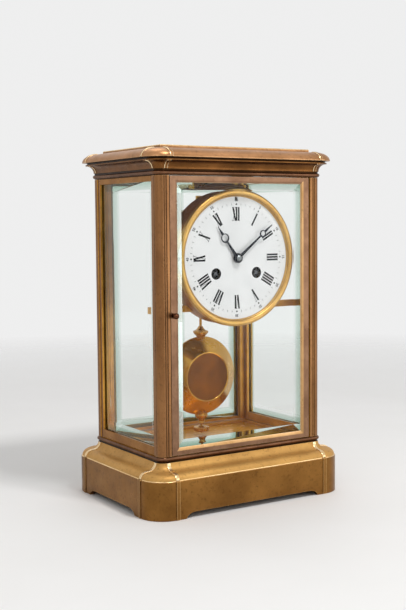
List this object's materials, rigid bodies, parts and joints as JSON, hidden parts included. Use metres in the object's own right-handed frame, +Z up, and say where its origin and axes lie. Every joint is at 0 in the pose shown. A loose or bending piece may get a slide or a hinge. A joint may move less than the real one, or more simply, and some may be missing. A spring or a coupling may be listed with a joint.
{
  "type": "four-glass mantel clock",
  "caption": "Glass-sided mantel clock: moulded brass case, bevelled panes, hinged front and back doors, white dial with moon hands, striking movement and swinging pendulum.",
  "frame": {"origin": "middle of the case's footprint, on the surface it stands on", "axes": "+X to the right seen from the front, +Y towards the back, +Z up"},
  "size_m": [0.1896, 0.1414, 0.29],
  "materials": {
    "aged_brass": "patinated, worn bright on the edges",
    "deep_brass": "polished, deep gold",
    "gilt": "bright gilt",
    "wheel_brass": "polished",
    "bell_metal": "turned bell metal",
    "steel": "polished",
    "blued_steel": "blued nearly black",
    "enamel": "white enamel",
    "glass": "clear with ground bevels"
  },
  "bodies": {
    "case": {"base": "aged_brass", "cornice": "aged_brass", "pillar_front_left": "aged_brass", "pillar_front_right": "aged_brass", "pillar_back_left": "aged_brass", "pillar_back_right": "aged_brass", "rail_left_bottom": "aged_brass", "rail_left_top": "aged_brass", "rail_right_bottom": "aged_brass", "rail_right_top": "aged_brass", "glass_left": "glass", "glass_right": "glass", "bracket_left": "aged_brass", "bracket_right": "aged_brass", "movement_ring": "deep_brass", "bezel": "gilt", "dial": "enamel", "front_plate": "wheel_brass", "back_plate": "wheel_brass", "suspension_cock": "wheel_brass", "bell_stand": "steel", "bell": "bell_metal"},
    "front_door": {"front_door_frame": "aged_brass", "front_door_glass": "glass"},
    "front_latch": {"front_door_knob": "gilt", "front_door_latch": "aged_brass"},
    "back_door": {"back_door_frame": "aged_brass", "back_door_glass": "glass"},
    "back_latch": {"back_door_knob": "gilt", "back_door_latch": "aged_brass"},
    "minute": {"minute_hand": "blued_steel", "hand_nut": "blued_steel", "cannon_pinion": "steel"},
    "hour": {"hour_hand": "blued_steel", "hour_wheel": "wheel_brass"},
    "motion": {"minute_wheel": "wheel_brass"},
    "going_barrel": {"going_barrel": "wheel_brass"},
    "going_arbor": {"going_arbor": "steel"},
    "going_click": {"going_click": "steel"},
    "second_wheel": {"second_wheel": "wheel_brass"},
    "centre_wheel": {"centre_wheel": "wheel_brass"},
    "third_wheel": {"third_wheel": "wheel_brass"},
    "escape_wheel": {"escape_wheel": "wheel_brass"},
    "pallets": {"pallets": "steel", "crutch": "steel"},
    "pendulum": {"suspension_spring": "blued_steel", "pendulum_rod": "deep_brass", "top_ferrule": "gilt", "bob": "gilt", "lower_ferrule": "gilt"},
    "rating_nut": {"rating_nut": "gilt"},
    "strike_barrel": {"strike_barrel": "wheel_brass"},
    "strike_arbor": {"strike_arbor": "steel"},
    "strike_click": {"strike_click": "steel"},
    "strike_second": {"strike_second_wheel": "wheel_brass", "count_wheel": "wheel_brass"},
    "pin_wheel": {"pin_wheel": "wheel_brass"},
    "fly": {"fly": "wheel_brass"},
    "hammer": {"hammer": "steel"},
    "regulator": {"regulating_arbor": "steel"}
  },
  "joints": [
    {"name": "front_door_hinge", "type": "hinge", "parent": "case", "child": "front_door", "pos_m": [0.0662, -0.0532, 0.1565], "axis": [0, 0, 1], "range_deg": [0, 100]},
    {"name": "front_latch_turn", "type": "hinge", "parent": "front_door", "child": "front_latch", "pos_m": [-0.0661, -0.055, 0.1575], "axis": [0, -1, 0], "range_deg": [0, 90]},
    {"name": "back_door_hinge", "type": "hinge", "parent": "case", "child": "back_door", "pos_m": [-0.0662, 0.0532, 0.1565], "axis": [0, 0, 1], "range_deg": [0, 100]},
    {"name": "back_latch_turn", "type": "hinge", "parent": "back_door", "child": "back_latch", "pos_m": [0.0661, 0.055, 0.1575], "axis": [0, 1, 0], "range_deg": [0, 90]},
    {"name": "minute_hand_turn", "type": "hinge", "parent": "case", "child": "minute", "pos_m": [0, 0, 0.2005], "axis": [0, 1, 0], "continuous": true},
    {"name": "hour_hand_turn", "type": "hinge", "parent": "case", "child": "hour", "pos_m": [0, 0, 0.2005], "axis": [0, 1, 0], "continuous": true},
    {"name": "motion_wheel_turn", "type": "hinge", "parent": "case", "child": "motion", "pos_m": [-0.00707, 0, 0.20757], "axis": [0, 1, 0], "continuous": true},
    {"name": "third_wheel_turn", "type": "hinge", "parent": "case", "child": "third_wheel", "pos_m": [-0.01102, 0, 0.20788], "axis": [0, 1, 0], "continuous": true},
    {"name": "escape_wheel_turn", "type": "hinge", "parent": "case", "child": "escape_wheel", "pos_m": [0, 0, 0.214], "axis": [0, 1, 0], "continuous": true},
    {"name": "centre_wheel_turn", "type": "hinge", "parent": "case", "child": "centre_wheel", "pos_m": [0, 0, 0.2005], "axis": [0, 1, 0], "continuous": true},
    {"name": "second_wheel_turn", "type": "hinge", "parent": "case", "child": "second_wheel", "pos_m": [0.0156, 0, 0.20843], "axis": [0, 1, 0], "continuous": true},
    {"name": "going_barrel_turn", "type": "hinge", "parent": "case", "child": "going_barrel", "pos_m": [0.0198, 0, 0.1881], "axis": [0, 1, 0], "continuous": true},
    {"name": "going_arbor_turn", "type": "hinge", "parent": "case", "child": "going_arbor", "pos_m": [0.0198, 0, 0.1881], "axis": [0, 1, 0], "continuous": true},
    {"name": "going_click_lift", "type": "hinge", "parent": "case", "child": "going_click", "pos_m": [0.0294, -0.034, 0.1965], "axis": [0, -1, 0], "range_deg": [0, 12], "stiffness_Nm_per_rad": 0.001, "springref_deg": -11.46},
    {"name": "pendulum_swing", "type": "hinge", "parent": "case", "child": "pendulum", "pos_m": [0, 0.012, 0.22602], "axis": [0, 1, 0], "range_deg": [-4, 4]},
    {"name": "pallets_rock", "type": "hinge", "parent": "case", "child": "pallets", "pos_m": [0, 0, 0.22602], "axis": [0, 1, 0], "range_deg": [-4, 4]},
    {"name": "rating_nut_turn", "type": "hinge", "parent": "pendulum", "child": "rating_nut", "pos_m": [0, 0.012, 0.0515], "axis": [0, 0, 1], "continuous": true},
    {"name": "pin_wheel_turn", "type": "hinge", "parent": "case", "child": "pin_wheel", "pos_m": [0.0061, 0, 0.16715], "axis": [0, 1, 0], "continuous": true},
    {"name": "fly_turn", "type": "hinge", "parent": "case", "child": "fly", "pos_m": [-0.00278, 0, 0.16391], "axis": [0, 1, 0], "continuous": true},
    {"name": "strike_second_turn", "type": "hinge", "parent": "case", "child": "strike_second", "pos_m": [0.00032, 0, 0.183], "axis": [0, 1, 0], "continuous": true},
    {"name": "strike_barrel_turn", "type": "hinge", "parent": "case", "child": "strike_barrel", "pos_m": [-0.0198, 0, 0.1881], "axis": [0, 1, 0], "continuous": true},
    {"name": "strike_arbor_turn", "type": "hinge", "parent": "case", "child": "strike_arbor", "pos_m": [-0.0198, 0, 0.1881], "axis": [0, 1, 0], "continuous": true},
    {"name": "strike_click_lift", "type": "hinge", "parent": "case", "child": "strike_click", "pos_m": [-0.0294, -0.034, 0.1965], "axis": [0, 1, 0], "range_deg": [0, 12], "stiffness_Nm_per_rad": 0.001, "springref_deg": -11.46},
    {"name": "hammer_lift", "type": "hinge", "parent": "case", "child": "hammer", "pos_m": [0.0172, 0, 0.1634], "axis": [0, -1, 0], "range_deg": [0, 12], "stiffness_Nm_per_rad": 0.002, "springref_deg": -14.32},
    {"name": "regulator_turn", "type": "hinge", "parent": "case", "child": "regulator", "pos_m": [0, 0, 0.2488], "axis": [0, 1, 0], "continuous": true}
  ],
  "couplings": [
    {"joint": "hour_hand_turn", "follows": "minute_hand_turn", "ratio": 0.083333},
    {"joint": "motion_wheel_turn", "follows": "minute_hand_turn", "ratio": -0.33333},
    {"joint": "escape_wheel_turn", "follows": "third_wheel_turn", "ratio": -14},
    {"joint": "centre_wheel_turn", "follows": "third_wheel_turn", "ratio": -0.083333},
    {"joint": "second_wheel_turn", "follows": "third_wheel_turn", "ratio": 0.013889},
    {"joint": "going_barrel_turn", "follows": "third_wheel_turn", "ratio": -0.0021368},
    {"joint": "pallets_rock", "follows": "pendulum_swing", "ratio": 1},
    {"joint": "fly_turn", "follows": "pin_wheel_turn", "ratio": -6},
    {"joint": "strike_second_turn", "follows": "pin_wheel_turn", "ratio": -0.125},
    {"joint": "strike_barrel_turn", "follows": "pin_wheel_turn", "ratio": 0.019231}
  ]
}
